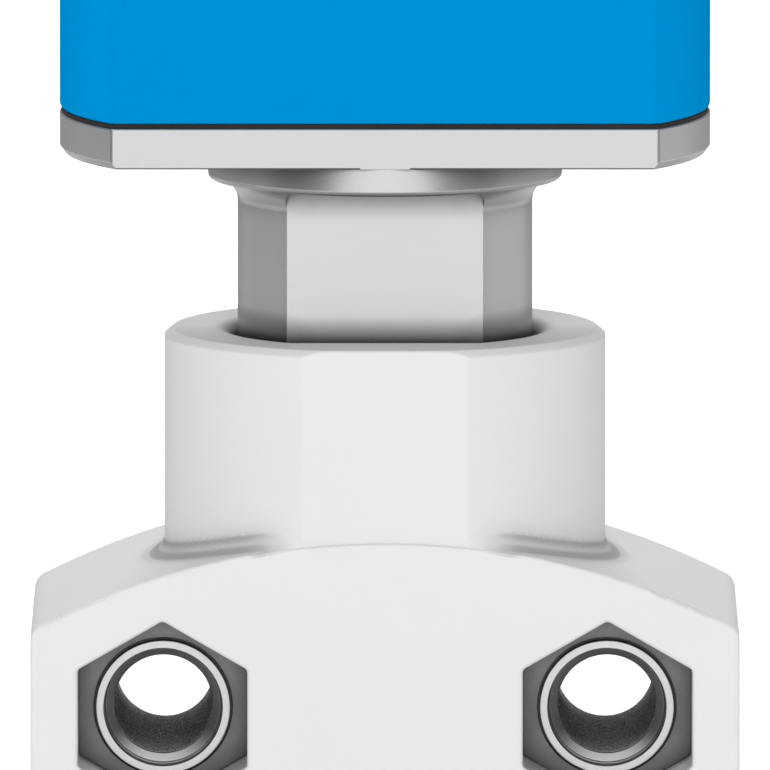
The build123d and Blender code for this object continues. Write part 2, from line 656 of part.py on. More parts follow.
def make_piston_magnet():
    """Ring magnet in the piston's lower groove, for position switches."""
    low = PISTON_LOW + PISTON_LAND + SEAT_GAP
    outer = CYLINDER_D - 2 * PISTON_GAP
    return ring(outer, outer - 2 * MAGNET_T + 2 * SEAT_GAP, low, low + MAGNET_W - 2 * SEAT_GAP)


def make_piston_screw():
    """Cap screw from the piston's top down into the rod."""
    seat = PISTON_TOP - M4_D - HOLE_PLAY
    screw = cap_screw(M4_D, M4_TAP_D, M4_HEAD_D, M4_KEY_AF, PISTON_SCREW_L, -seat)
    return mirror(screw, about=Plane.XY)


def slanted(near, far, width, low, high):
    """Bar along the wedge's right flank, between two distances from it along X."""
    def flank(level):
        return JAW_GAP / 2 + JAW_PER_STROKE * (level - JAW_LOW)

    outline = make_face(Polyline(
        (flank(low) + near, low),
        (flank(low) + far, low),
        (flank(high) + far, high),
        (flank(high) + near, high),
        close=True,
    ))
    return extrude(Plane.XZ * outline, width / 2, both=True)


def make_wedge_rod():
    """Piston rod and wedge in one: a T-shaped rib on each flank pulls a jaw."""
    half = slanted(-BODY_W, -SLIDE_GAP, WEDGE_T, WEDGE_LOW, WEDGE_TOP)
    half &= Pos(BODY_W / 2, 0, (WEDGE_LOW + WEDGE_TOP) / 2) * Box(BODY_W, BODY_T, GUIDE_H)
    half += slanted(-WEDGE_RIB_OUT, WEDGE_RIB_OUT, WEDGE_NECK_W, WEDGE_LOW, WEDGE_TOP)
    half += slanted(WEDGE_RIB_OUT, 2 * WEDGE_RIB_OUT, WEDGE_RIB_W, WEDGE_LOW, WEDGE_TOP)
    wedge = half + mirror(half, about=Plane.YZ)
    wedge += disc(ROD_D, WEDGE_TOP - 1, PISTON_LOW)
    rod_top = PISTON_LOW
    depth = PISTON_SCREW_L - (PISTON_H - M4_D - HOLE_PLAY) + TAP_SPARE
    return wedge - disc(M4_TAP_D, rod_top - depth, rod_top + 1)


# Jaw guide and jaws

def make_jaw_guide():
    """Block under the housing with the jaws' T-slot and room for the wedge."""
    guide = Pos(0, 0, (FOOT + SPLIT) / 2) * Box(BODY_W, BODY_T, GUIDE_H)
    guide = chamfer(guide.faces().sort_by(Axis.Z)[0].edges(), GUIDE_CHAMFER)
    guide = fillet(guide.edges().filter_by(Axis.Z), BODY_EDGE_R)
    gap = 2 * SLIDE_GAP
    length = BODY_W + 1
    head_low = JAW_LIP_TOP - SLIDE_GAP
    head_high = JAW_TOP + SLIDE_GAP
    guide -= Pos(0, 0, (head_low + head_high) / 2) * Box(
        length, JAW_HEAD_W + gap, head_high - head_low)
    guide -= Pos(0, 0, (FOOT - 1 + head_high) / 2) * Box(
        length, JAW_W + gap, head_high - FOOT + 1)
    rib_reach = JAW_GAP / 2 + JAW_PER_STROKE * (WEDGE_TOP - JAW_LOW) + 2 * WEDGE_RIB_OUT
    guide -= Pos(0, 0, (JAW_TOP + SPLIT + 1) / 2) * Box(
        2 * (rib_reach + END_GAP), WEDGE_T + 2 * END_GAP, SPLIT + 1 - JAW_TOP)
    seat = FOOT + M3_D + GUIDE_HEAD_SINK
    guide = cut_each(guide, disc(M3_D + 2 * HOLE_PLAY, FOOT - 1, SPLIT + 1), GUIDE_SCREWS)
    guide = cut_each(guide, disc(M3_HEAD_D + 2 * HOLE_PLAY, FOOT - 1, seat), GUIDE_SCREWS)
    return cut_each(guide, disc(DOWEL_D, SPLIT - DOWEL_L / 2, SPLIT + 1), DOWELS)


def make_guide_screws():
    """Cap screws from below, through the guide block into the housing."""
    seat = FOOT + M3_D + GUIDE_HEAD_SINK
    length = SPLIT - seat + GUIDE_SCREW_IN
    screw = cap_screw(M3_D, M3_TAP_D, M3_HEAD_D, M3_KEY_AF, length, seat)
    return copies(screw, GUIDE_SCREWS)


def make_guide_dowels():
    """Two dowels that line the guide block up with the housing."""
    dowel = disc(DOWEL_D - 2 * SEAT_GAP, SPLIT - DOWEL_L / 2 + SEAT_GAP, SPLIT + DOWEL_L / 2)
    return copies(dowel, DOWELS)


def make_base_jaw():
    """Right-hand jaw: T-shaped slide, slanted slot for the wedge's rib, tapped foot."""
    middle_z = (JAW_LOW + JAW_TOP) / 2
    neck = Pos(JAW_OUT / 2, 0, middle_z) * Box(JAW_OUT, JAW_W, JAW_TOP - JAW_LOW)
    head = Pos(JAW_OUT / 2, 0, (JAW_LIP_TOP + JAW_TOP) / 2) * Box(JAW_OUT, JAW_HEAD_W, JAW_HEAD_H)
    jaw = neck + head
    foot_edges = jaw.faces().sort_by(Axis.Z)[0].edges()
    jaw = chamfer(foot_edges, JAW_CHAMFER)
    over = 1
    jaw -= slanted(-BODY_W, 0, BODY_T, JAW_LOW - over, JAW_TOP + over)
    jaw -= slanted(-1, WEDGE_RIB_OUT, WEDGE_NECK_W + 2 * SLIDE_GAP, JAW_LOW - over, JAW_TOP + over)
    jaw -= slanted(WEDGE_RIB_OUT - SLIDE_GAP, 2 * WEDGE_RIB_OUT + SLIDE_GAP,
                   WEDGE_RIB_W + 2 * SLIDE_GAP, JAW_LOW - over, JAW_TOP + over)
    outer = JAW_OUT - JAW_TAP_END
    taps = [(outer, 0), (outer - JAW_TAP_SPACING, 0)]
    return cut_each(jaw, disc(JAW_TAP_D, JAW_LOW - 1, JAW_LOW + JAW_TAP_H), taps)


BASE_JAW = make_base_jaw()
PARTS = {
    "mounting_plate": make_mounting_plate(),
    "head_housing": make_head_housing(),
    "head_gasket": make_head_gasket(),
    "base_plate": make_base_plate(),
    "mounting_screws": make_mounting_screws(),
    "base_screws": make_base_screws(),
    "stem": make_stem(),
    "stem_screws": make_stem_screws(),
    "preload_plug": make_preload_plug(),
    "compensation_spring": make_compensation_spring(),
    "gripper_housing": make_gripper_housing(),
    "guide_liner": make_guide_liner(),
    "stop_screw": make_stop_screw(),
    "port_insert_left": make_port_insert(-1),
    "port_insert_right": make_port_insert(1),
    "port_seals": make_port_seals(),
    "cylinder_sleeve": make_cylinder_sleeve(),
    "bumper_upper": make_bumper(CYLINDER_TOP - BUMPER_T + SLIDE_GAP),
    "bumper_lower": make_bumper(CYLINDER_LOW),
    "cylinder_cap": make_cylinder_cap(),
    "cap_seal": make_cap_seal(),
    "rod_seal": make_rod_seal(),
    "jaw_guide": make_jaw_guide(),
    "guide_screws": make_guide_screws(),
    "guide_dowels": make_guide_dowels(),
    "piston": make_piston(),
    "piston_seal": make_piston_seal(),
    "piston_magnet": make_piston_magnet(),
    "piston_screw": make_piston_screw(),
    "wedge_rod": make_wedge_rod(),
    "base_jaw_left": mirror(BASE_JAW, about=Plane.YZ),
    "base_jaw_right": BASE_JAW,
}

os.makedirs("parts", exist_ok=True)
for name, solid in PARTS.items():
    export_step(solid, f"parts/{name}.step")
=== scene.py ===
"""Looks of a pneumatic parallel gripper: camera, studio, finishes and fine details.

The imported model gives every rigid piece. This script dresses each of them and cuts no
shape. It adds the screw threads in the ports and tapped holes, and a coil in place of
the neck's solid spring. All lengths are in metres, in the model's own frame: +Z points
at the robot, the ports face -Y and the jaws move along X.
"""

from __future__ import annotations

import json
import logging
import math
from dataclasses import dataclass, field
from enum import Enum

import bmesh
import bpy
from mathutils import Matrix, Vector

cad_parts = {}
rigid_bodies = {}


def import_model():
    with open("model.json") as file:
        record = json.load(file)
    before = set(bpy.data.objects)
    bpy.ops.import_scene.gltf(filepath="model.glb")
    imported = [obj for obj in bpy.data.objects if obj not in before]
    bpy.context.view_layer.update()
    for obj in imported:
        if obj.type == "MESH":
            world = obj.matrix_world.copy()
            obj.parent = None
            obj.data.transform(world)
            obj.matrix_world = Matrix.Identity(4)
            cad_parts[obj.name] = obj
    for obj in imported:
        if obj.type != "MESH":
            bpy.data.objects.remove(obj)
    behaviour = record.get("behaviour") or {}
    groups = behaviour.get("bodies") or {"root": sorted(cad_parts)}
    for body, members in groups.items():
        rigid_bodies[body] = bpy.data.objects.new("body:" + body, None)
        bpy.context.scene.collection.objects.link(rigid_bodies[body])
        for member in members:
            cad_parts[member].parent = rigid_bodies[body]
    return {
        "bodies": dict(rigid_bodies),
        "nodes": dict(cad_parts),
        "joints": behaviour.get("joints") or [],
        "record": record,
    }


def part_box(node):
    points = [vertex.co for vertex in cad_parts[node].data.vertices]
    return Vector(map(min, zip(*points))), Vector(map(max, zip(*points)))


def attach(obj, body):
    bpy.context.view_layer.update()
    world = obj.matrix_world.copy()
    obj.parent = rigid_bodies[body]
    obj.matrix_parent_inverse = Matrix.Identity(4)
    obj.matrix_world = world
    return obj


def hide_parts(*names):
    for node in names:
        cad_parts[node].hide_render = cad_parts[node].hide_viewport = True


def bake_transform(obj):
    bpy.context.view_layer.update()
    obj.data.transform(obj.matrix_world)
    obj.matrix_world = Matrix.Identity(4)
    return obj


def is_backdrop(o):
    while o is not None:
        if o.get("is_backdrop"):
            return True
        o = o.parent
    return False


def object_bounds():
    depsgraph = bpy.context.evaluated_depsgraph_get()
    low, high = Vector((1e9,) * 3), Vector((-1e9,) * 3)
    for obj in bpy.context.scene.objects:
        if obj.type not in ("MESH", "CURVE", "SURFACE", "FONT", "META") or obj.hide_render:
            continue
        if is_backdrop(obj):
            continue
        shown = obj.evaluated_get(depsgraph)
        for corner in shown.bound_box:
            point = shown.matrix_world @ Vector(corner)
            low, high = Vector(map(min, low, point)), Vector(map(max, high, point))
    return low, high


log = logging.getLogger("gripper")

MM = 0.001
Colour = tuple[float, float, float]
Span = tuple[float, float]
Node = bpy.types.Node
Socket = bpy.types.NodeSocket
WHITE: Colour = (1.0, 1.0, 1.0)
GRAIN_SPAN: Span = (0.3, 0.7)


def linear(red: float, green: float, blue: float) -> Colour:
    """Turn display values from 0 to 255 into the linear values that shaders take.

    Args:
        red: Display red.
        green: Display green.
        blue: Display blue.

    Returns:
        The same colour in linear light.
    """
    def channel(value: float) -> float:
        part = value / 255
        return part / 12.92 if part <= 0.04045 else ((part + 0.055) / 1.055) ** 2.4

    return (channel(red), channel(green), channel(blue))


def scaled(colour: Colour, factor: float, lift: float = 0.0) -> Colour:
    """Multiply a colour and raise it, with white as the limit.

    Args:
        colour: The colour, in linear light.
        factor: What each channel is multiplied by.
        lift: What is added to each channel after that.

    Returns:
        The new colour.
    """
    return tuple(min(1.0, part * factor + lift) for part in colour)


def stand(name: str, data: bpy.types.ID) -> bpy.types.Object:
    """Put an object into the scene.

    Args:
        name: The object's name.
        data: Its mesh, lamp or camera.

    Returns:
        The new object.
    """
    made = bpy.data.objects.new(name, data)
    bpy.context.scene.collection.objects.link(made)
    return made


def close_tube(made: bmesh.types.BMesh, loops: list[list[bmesh.types.BMVert]]) -> None:
    """Join rings of points into one closed tube, its faces turned out.

    Args:
        made: The mesh that holds the points.
        loops: The rings in order, each with the same number of points.
    """
    for before, after in zip(loops, loops[1:]):
        for index in range(len(before)):
            follow = (index + 1) % len(before)
            made.faces.new((before[index], before[follow], after[follow], after[index]))
    made.faces.new(list(reversed(loops[0])))
    made.faces.new(loops[-1])
    bmesh.ops.recalc_face_normals(made, faces=made.faces)


class Lay(Enum):
    """Direction of the fine marks that a tool leaves in metal."""

    TURNED = "turned"
    MILLED = "milled"
    BLASTED = "blasted"


class Tree:
    """Small helper round a node tree, for materials, groups and the world."""

    def __init__(self, tree: bpy.types.NodeTree) -> None:
        """Start from an empty tree.

        Args:
            tree: The node tree to fill.
        """
        self.tree = tree
        self.tree.nodes.clear()

    def add(self, kind: str, **settings: object) -> Node:
        """Add a node and set its properties.

        Args:
            kind: The node's type name.
            settings: Properties to set on the node.

        Returns:
            The new node.
        """
        node = self.tree.nodes.new(kind)
        for name, value in settings.items():
            setattr(node, name, value)
        return node

    def link(self, source: Socket, target: Socket) -> None:
        """Join an output to an input."""
        self.tree.links.new(source, target)

    def surface(self, shader: Socket, kind: str = "ShaderNodeOutputMaterial") -> None:
        """Join a shader to a new output node of the given kind."""
        self.link(shader, self.add(kind).inputs["Surface"])

    def use(self, group: bpy.types.NodeTree, **values: float) -> Node:
        """Place a shared group with its own values.

        Args:
            group: The shared group.
            values: Input values, with underscores for spaces.

        Returns:
            The group node.
        """
        node = self.add("ShaderNodeGroup", node_tree=group)
        for label, value in values.items():
            node.inputs[label.replace("_", " ")].default_value = value
        return node

    def split(self, kind: str, label: str) -> Node:
        """Split a vector that a new node puts out.

        Args:
            kind: Type name of the node with the vector.
            label: The name of its output.

        Returns:
            A node with outputs X, Y and Z.
        """
        node = self.add("ShaderNodeSeparateXYZ")
        self.link(self.add(kind).outputs[label], node.inputs[0])
        return node

    def math(self, operation: str, first: object, second: object = 0.0) -> Socket:
        """Add a maths node.

        Args:
            operation: The node's operation.
            first: A socket or a number.
            second: A socket or a number.

        Returns:
            The node's output.
        """
        node = self.add("ShaderNodeMath", operation=operation)
        for index, value in enumerate((first, second)):
            if isinstance(value, Socket):
                self.link(value, node.inputs[index])
            else:
                node.inputs[index].default_value = float(value)
        return node.outputs[0]

    def product(self, first: object, *others: object) -> Socket:
        """Multiply sockets or numbers, two or more, in the order given."""
        for other in others:
            first = self.math("MULTIPLY", first, other)
        return first

    def distance(self, first: Socket, second: Socket) -> Socket:
        """Give the distance of a point from an axis, from its two coordinates."""
        square = self.math("ADD", self.product(first, first), self.product(second, second))
        return self.math("SQRT", square)

    def seen_by(self, first: str, *others: str) -> Socket:
        """Give 1 for the named kinds of ray and 0 for all others."""
        path = self.add("ShaderNodeLightPath")
        seen = path.outputs[first]
        for other in others:
            seen = self.math("MAXIMUM", seen, path.outputs[other])
        return seen

    def blend(self, factor: object, first: object, second: object) -> Socket:
        """Mix two colours, given as sockets or as linear colours.

        Args:
            factor: A socket or a number from 0 to 1.
            first: Colour where the factor is 0.
            second: Colour where the factor is 1.

        Returns:
            The mixed colour.
        """
        node = self.add("ShaderNodeMix", data_type="RGBA")
        sockets = (node.inputs["Factor"], node.inputs[6], node.inputs[7])
        for socket, value in zip(sockets, (factor, first, second)):
            if isinstance(value, Socket):
                self.link(value, socket)
            elif isinstance(value, tuple):
                socket.default_value = (*value, 1.0)
            else:
                socket.default_value = float(value)
        return node.outputs[2]

    def ramp(self, value: Socket, low: float, high: float,
             to_low: float = 0.0, to_high: float = 1.0) -> Socket:
        """Map a range of values to another, smoothly and clamped.

        Args:
            value: The value to map.
            low: Start of the range.
            high: End of the range.
            to_low: Result at the start.
            to_high: Result at the end.

        Returns:
            The mapped value.
        """
        node = self.add("ShaderNodeMapRange", interpolation_type="SMOOTHSTEP")
        self.link(value, node.inputs["Value"])
        node.inputs["From Min"].default_value = low
        node.inputs["From Max"].default_value = high
        node.inputs["To Min"].default_value = to_low
        node.inputs["To Max"].default_value = to_high
        return node.outputs["Result"]


class Effects:
    """Shader node groups that several finishes share, each built once."""

    def __init__(self) -> None:
        """Build the groups."""
        self.speckle = self._speckle()
        self.lines = self._lines()
        self.rounding = self._rounding()
        self.painted_shade = self._painted_shade()

    def _group(self, name: str, inputs: dict[str, float],
               outputs: tuple[str, ...]) -> tuple[Tree, Node, Node]:
        """Start a group with named number inputs and outputs.

        Args:
            name: The group's name.
            inputs: Input names with their default values.
            outputs: Output names.

        Returns:
            The group's tree, with its input node and its output node.
        """
        tree = bpy.data.node_groups.new(name, "ShaderNodeTree")
        for label, value in inputs.items():
            socket = tree.interface.new_socket(label, in_out="INPUT", socket_type="NodeSocketFloat")
            socket.default_value = value
        for label in outputs:
            tree.interface.new_socket(label, in_out="OUTPUT", socket_type="NodeSocketFloat")
        work = Tree(tree)
        return work, work.add("NodeGroupInput"), work.add("NodeGroupOutput")

    def _speckle(self) -> bpy.types.NodeTree:
        """Fine grain of a blasted or coated surface, with a slow drift in tone.

        Returns:
            The group, with outputs Grain and Drift, both about 0 to 1.
        """
        sizes = {"Grain Size": 0.3 * MM, "Drift Size": 20.0 * MM}
        work, start, end = self._group("speckle", sizes, ("Grain", "Drift"))
        place = work.add("ShaderNodeTexCoord").outputs["Object"]
        for label, detail in (("Grain", 2.0), ("Drift", 3.0)):
            noise = work.add("ShaderNodeTexNoise")
            noise.inputs["Detail"].default_value = detail
            work.link(place, noise.inputs["Vector"])
            scale = work.math("DIVIDE", 1.0, start.outputs[f"{label} Size"])
            work.link(scale, noise.inputs["Scale"])
            work.link(noise.outputs["Fac"], end.inputs[label])
        return work.tree

    def _lines(self) -> bpy.types.NodeTree:
        """Fine streaks: a noise squeezed along Z, for turned and milled metal.

        Returns:
            The group, with output Streak, about 0 to 1.
        """
        sizes = {"Spacing": 0.2 * MM, "Length": 20.0 * MM, "Across Z": 1.0}
        work, start, end = self._group("lines", sizes, ("Streak",))
        parts = work.split("ShaderNodeTexCoord", "Object")
        fine = work.math("DIVIDE", 1.0, start.outputs["Spacing"])
        coarse = work.math("DIVIDE", 1.0, start.outputs["Length"])
        span = work.math("SUBTRACT", fine, coarse)
        along_z = work.math("ADD", coarse, work.product(span, start.outputs["Across Z"]))
        along_x = work.math("ADD", coarse, work.math("SUBTRACT", fine, along_z))
        joined = work.add("ShaderNodeCombineXYZ")
        for axis, along in (("X", along_x), ("Y", coarse), ("Z", along_z)):
            work.link(work.product(parts.outputs[axis], along), joined.inputs[axis])
        noise = work.add("ShaderNodeTexNoise")
        noise.inputs["Scale"].default_value = 1.0
        noise.inputs["Detail"].default_value = 3.0
        work.link(joined.outputs[0], noise.inputs["Vector"])
        work.link(noise.outputs["Fac"], end.inputs["Streak"])
        return work.tree

    def _rounding(self) -> bpy.types.NodeTree:
        """Mask of worn or broken edges and of edges with a painted highlight, from how far a
        rounded normal leans away.

        Returns:
            The group, with output Edge, 0 on faces and up to 1 along edges.
        """
        agreement = (0.995, 0.9)
        work, start, end = self._group("rounding", {"Reach": 0.15 * MM}, ("Edge",))
        bevel = work.add("ShaderNodeBevel", samples=4)
        work.link(start.outputs["Reach"], bevel.inputs["Radius"])
        plain = work.add("ShaderNodeNewGeometry")
        dot = work.add("ShaderNodeVectorMath", operation="DOT_PRODUCT")
        work.link(bevel.outputs["Normal"], dot.inputs[0])
        work.link(plain.outputs["Normal"], dot.inputs[1])
        work.link(work.ramp(dot.outputs["Value"], *agreement), end.inputs["Edge"])
        return work.tree

    def _painted_shade(self) -> bpy.types.NodeTree:
        """Mask of open faces for painted shade: it falls towards 0 where another surface is close.

        Returns:
            The group, with output Open, 1 in the open and 0 deep in a corner.
        """
        work, start, end = self._group("painted_shade", {"Reach": 4.0 * MM, "Power": 1.5}, ("Open",))
        # Painted shade: ambient occlusion becomes a mask that darkens the colour in corners.
        closeness = work.add("ShaderNodeAmbientOcclusion", samples=8)
        work.link(start.outputs["Reach"], closeness.inputs["Distance"])
        opened = work.math("POWER", closeness.outputs["AO"], start.outputs["Power"])
        work.link(opened, end.inputs["Open"])
        return work.tree


@dataclass(frozen=True)
class BoreShade:
    """Full shade inside a bore round the model's Z axis, and a soft one on its rim."""

    radius: float
    top: float
    wall_edge: float = 0.05 * MM
    mouth_edge: float = 0.1 * MM
    rim_outside: float = 2.5 * MM
    rim_inside: float = 0.5 * MM

    def mask(self, work: Tree, level: Socket, radius: Socket, around: Socket) -> Socket:
        """Build the mask of the bore and its rim.

        Args:
            work: The material's tree.
            level: Height on the model.
            radius: Distance from the model's Z axis.
            around: How closed in a point is, from 0 to 1.

        Returns:
            The mask, 1 where the shade is full.
        """
        within = work.ramp(radius, self.radius, self.radius - self.wall_edge)
        sunk = work.ramp(level, self.top, self.top - self.mouth_edge)
        near = work.ramp(radius, self.radius + self.rim_outside, self.radius - self.rim_inside)
        return work.math("MAXIMUM", work.product(around, near), work.product(within, sunk))


@dataclass(frozen=True)
class FootShade:
    """Shade in the fillet round the collar's foot, in two bands with a paler line between.

    The bands lie where the normal's rise, its Z part, is in the given spans. The shade
    fades out beyond the radius, above the body's top and towards the front's middle.
    """

    strength: float = 0.6
    radius: float = 21.0 * MM
    outer_edge: float = 0.3 * MM
    inner_edge: float = 0.4 * MM
    above: float = 0.5 * MM
    sides: Span = (7.5 * MM, 12.5 * MM)
    wall_start: Span = (0.02, 0.3)
    wall_ease: Span = (0.6, 0.3)
    wall_least: float = 0.5
    wall_end: Span = (0.8, 0.5)
    floor_start: Span = (0.45, 0.75)
    floor_end: Span = (0.985, 0.88)

    def mask(self, work: Tree, place: Node, radius: Socket, rise: Socket, top: float) -> Socket:
        """Build the mask of the fillet's shade.

        Args:
            work: The material's tree.
            place: Node with the place on the model as X, Y and Z.
            radius: Distance from the model's Z axis.
            rise: Z part of the surface's normal.
            top: Level of the body's top.

        Returns:
            The mask, as strong as the shade.
        """
        wall = work.product(work.ramp(rise, *self.wall_start),
                            work.ramp(rise, *self.wall_ease, self.wall_least, 1.0),
                            work.ramp(rise, *self.wall_end))
        floor = work.product(work.ramp(rise, *self.floor_start), work.ramp(rise, *self.floor_end))
        inner = work.ramp(radius, self.radius + self.outer_edge, self.radius - self.inner_edge)
        low = work.ramp(place.outputs["Z"], top + self.above, top)
        sideways = work.ramp(work.math("ABSOLUTE", place.outputs["X"]), *self.sides)
        bands = work.math("MAXIMUM", wall, floor)
        return work.product(bands, inner, low, sideways, self.strength)


@dataclass(frozen=True)
class PaintedShade:
    """Painted shade near corners and other pieces, drawn into the colour from ambient occlusion.

    The wall share is how much of it upright faces keep. Below a top, if one is given, the
    painted shade is full, and it fades out above it; the bore and foot shades need a top.
    Faces that look down keep the under share of their tone, as a painted shade under things.
    """

    reach: float = 4.0 * MM
    power: float = 1.5
    darkest: float = 0.3
    wall_share: float = 1.0
    top: float = 0.0
    under: float = 1.0
    bore: BoreShade | None = None
    foot: FootShade | None = None
    top_fade: float = 4.0 * MM
    upright: Span = (0.1, 0.6)
    downward: Span = (-0.01, -0.3)

    def shade(self, work: Tree, effects: Effects, tone: Socket, colour: Colour) -> Socket:
        """Paint shade into a tone in corners and close to other pieces.

        Args:
            work: The material's tree.
            effects: The shared node groups.
            tone: The tone to darken.
            colour: The finish's plain colour.

        Returns:
            The darkened tone.
        """
        # Painted shade: ambient occlusion darkens the colour near corners and other pieces.
        mask = work.use(effects.painted_shade, Reach=self.reach, Power=self.power)
        around = work.math("SUBTRACT", 1.0, mask.outputs["Open"])
        closed = around
        rise = work.split("ShaderNodeNewGeometry", "Normal").outputs["Z"]
        if self.wall_share < 1:
            closed = work.product(closed, work.ramp(rise, *self.upright, self.wall_share, 1.0))
        if self.top < 0:
            place = work.split("ShaderNodeTexCoord", "Object")
            level = place.outputs["Z"]
            closed = work.product(closed, work.ramp(level, self.top + self.top_fade, self.top))
            radius = work.distance(place.outputs["X"], place.outputs["Y"])
            if self.bore is not None:
                bore = self.bore.mask(work, level, radius, around)
                closed = work.math("MAXIMUM", closed, bore)
            if self.foot is not None:
                foot = self.foot.mask(work, place, radius, rise, self.top)
                closed = work.math("MAXIMUM", closed, foot)
        shaded = work.blend(closed, tone, scaled(colour, self.darkest))
        # Painted shade on faces that look down.
        if self.under < 1:
            down = work.ramp(rise, *self.downward)
            shaded = work.blend(down, shaded, scaled(colour, self.under))
        return shaded


class Finish:
    """Base of the finishes: makes its material once and keeps it."""

    name: str

    def material(self, effects: Effects) -> bpy.types.Material:
        """Give the finish's material, building it on first use.

        Args:
            effects: The shared node groups.

        Returns:
            The material.
        """
        found = bpy.data.materials.get(self.name)
        if found is not None:
            return found
        made = bpy.data.materials.new(self.name)
        made.use_nodes = True
        work = Tree(made.node_tree)
        shader = work.add("ShaderNodeBsdfPrincipled")
        work.surface(shader.outputs[0])
        self.wire(work, shader, effects)
        return made

    def wire(self, work: Tree, shader: Node, effects: Effects) -> None:
        """Build the nodes that feed the shader.

        Args:
            work: The material's tree.
            shader: Its Principled shader.
            effects: The shared node groups.
        """
        raise NotImplementedError

    @staticmethod
    def roughen(work: Tree, shader: Node, mark: Socket, limits: Span,
                span: Span = GRAIN_SPAN) -> None:
        """Let the roughness follow the surface's marks.

        Args:
            work: The material's tree.
            shader: Its Principled shader.
            mark: The marks, about 0 to 1.
            limits: Lowest and highest roughness.
            span: Values of the marks that give them.
        """
        work.link(work.ramp(mark, *span, *limits), shader.inputs["Roughness"])

    @staticmethod
    def bump(work: Tree, shader: Node, height: Socket, depth: float, radius: float,
             lean: Socket | None = None) -> None:
        """Feed a fine relief over rounded edges to the shader's normal.

        Args:
            work: The material's tree.
            shader: Its Principled shader.
            height: The relief, about 0 to 1.
            depth: Its depth in metres.
            radius: Radius of the softened edges in metres.
            lean: Vector that tilts the normal, or None.
        """
        bevel = work.add("ShaderNodeBevel", samples=8)
        bevel.inputs["Radius"].default_value = radius
        normal = bevel.outputs["Normal"]
        if lean is not None:
            tilt = work.add("ShaderNodeVectorMath", operation="ADD")
            work.link(normal, tilt.inputs[0])
            work.link(lean, tilt.inputs[1])
            even = work.add("ShaderNodeVectorMath", operation="NORMALIZE")
            work.link(tilt.outputs["Vector"], even.inputs[0])
            normal = even.outputs["Vector"]
        relief = work.add("ShaderNodeBump")
        relief.inputs["Strength"].default_value = 1.0
        relief.inputs["Distance"].default_value = depth
        work.link(height, relief.inputs["Height"])
        work.link(normal, relief.inputs["Normal"])
        work.link(relief.outputs["Normal"], shader.inputs["Normal"])


@dataclass(frozen=True)
class SatinCoat(Finish):
    """Opaque satin coat: paint, powder coat or dyed anodising."""

    name: str
    colour: Colour
    roughness: float = 0.5
    sheen_level: float = 0.3
    grain: float = 0.25 * MM
    relief: float = 0.004 * MM
    edge_light: float = 0.04
    edge_radius: float = 0.15 * MM
    side_light: float = 0.0
    # Painted shade in corners and near other pieces.
    painted_shade: PaintedShade = PaintedShade(4.0 * MM, 2.0, 0.3)
    drift: float = 18.0 * MM
    darker: float = 0.975
    lighter: float = 1.02
    wear: float = 0.5
    smoother: float = 0.04
    rougher: float = 0.05
    side_span: Span = (0.05, 0.6)

    def wire(self, work: Tree, shader: Node, effects: Effects) -> None:
        """Build the coat: slow tone drift, faint grain and softened edges."""
        speckle = work.use(effects.speckle, Grain_Size=self.grain, Drift_Size=self.drift)
        edge = work.use(effects.rounding, Reach=self.edge_radius)
        shade = scaled(self.colour, self.darker)
        tone = work.blend(speckle.outputs["Drift"], shade, scaled(self.colour, self.lighter))
        worn = work.product(edge.outputs["Edge"], self.wear)
        tone = work.blend(worn, tone, scaled(self.colour, 1.0, self.edge_light))
        # Painted light: the coat turns paler where its faces turn away from the view.
        if self.side_light > 0:
            facing = work.add("ShaderNodeLayerWeight").outputs["Facing"]
            paler = scaled(self.colour, 1 + self.side_light)
            tone = work.blend(work.ramp(facing, *self.side_span), tone, paler)
        # Painted shade drawn into the coat's tone.
        tone = self.painted_shade.shade(work, effects, tone, shade)
        work.link(tone, shader.inputs["Base Color"])
        limits = (self.roughness - self.smoother, self.roughness + self.rougher)
        self.roughen(work, shader, speckle.outputs["Grain"], limits)
        shader.inputs["Specular IOR Level"].default_value = self.sheen_level
        self.bump(work, shader, speckle.outputs["Grain"], self.relief, self.edge_radius)


@dataclass(frozen=True)
class BareMetal(Finish):
    """Bare or clear anodised metal with the marks of the tool that cut it."""

    name: str
    colour: Colour
    roughness: float = 0.35
    lay: Lay = Lay.TURNED
    spacing: float = 0.18 * MM
    relief: float = 0.002 * MM
    contrast: float = 0.03
    uneven: float = 0.05
    edge_radius: float = 0.12 * MM
    # Painted shade in corners and near other pieces.
    painted_shade: PaintedShade = PaintedShade(2.5 * MM, 2.0, 0.08)
    drift: float = 15.0 * MM
    streak: float = 30.0 * MM
    edge_gain: float = 1.15
    edge_lift: float = 0.03

    def wire(self, work: Tree, shader: Node, effects: Effects) -> None:
        """Build the metal: streaks or blasted grain, brighter broken edges."""
        if self.lay is Lay.BLASTED:
            marks = work.use(effects.speckle, Grain_Size=self.spacing, Drift_Size=self.drift)
            mark = marks.outputs["Grain"]
        else:
            across = 1.0 if self.lay is Lay.TURNED else 0.0
            marks = work.use(effects.lines, Spacing=self.spacing, Length=self.streak,
                             Across_Z=across)
            mark = marks.outputs["Streak"]
        edge = work.use(effects.rounding, Reach=self.edge_radius)
        tone = work.blend(mark, scaled(self.colour, 1 - self.contrast),
                          scaled(self.colour, 1 + self.contrast))
        bright = scaled(self.colour, self.edge_gain, self.edge_lift)
        tone = work.blend(edge.outputs["Edge"], tone, bright)
        # Painted shade drawn into the metal's tone.
        tone = self.painted_shade.shade(work, effects, tone, self.colour)
        work.link(tone, shader.inputs["Base Color"])
        limits = (self.roughness - self.uneven, self.roughness + self.uneven)
        self.roughen(work, shader, mark, limits)
        shader.inputs["Metallic"].default_value = 1.0
        self.bump(work, shader, mark, self.relief, self.edge_radius)


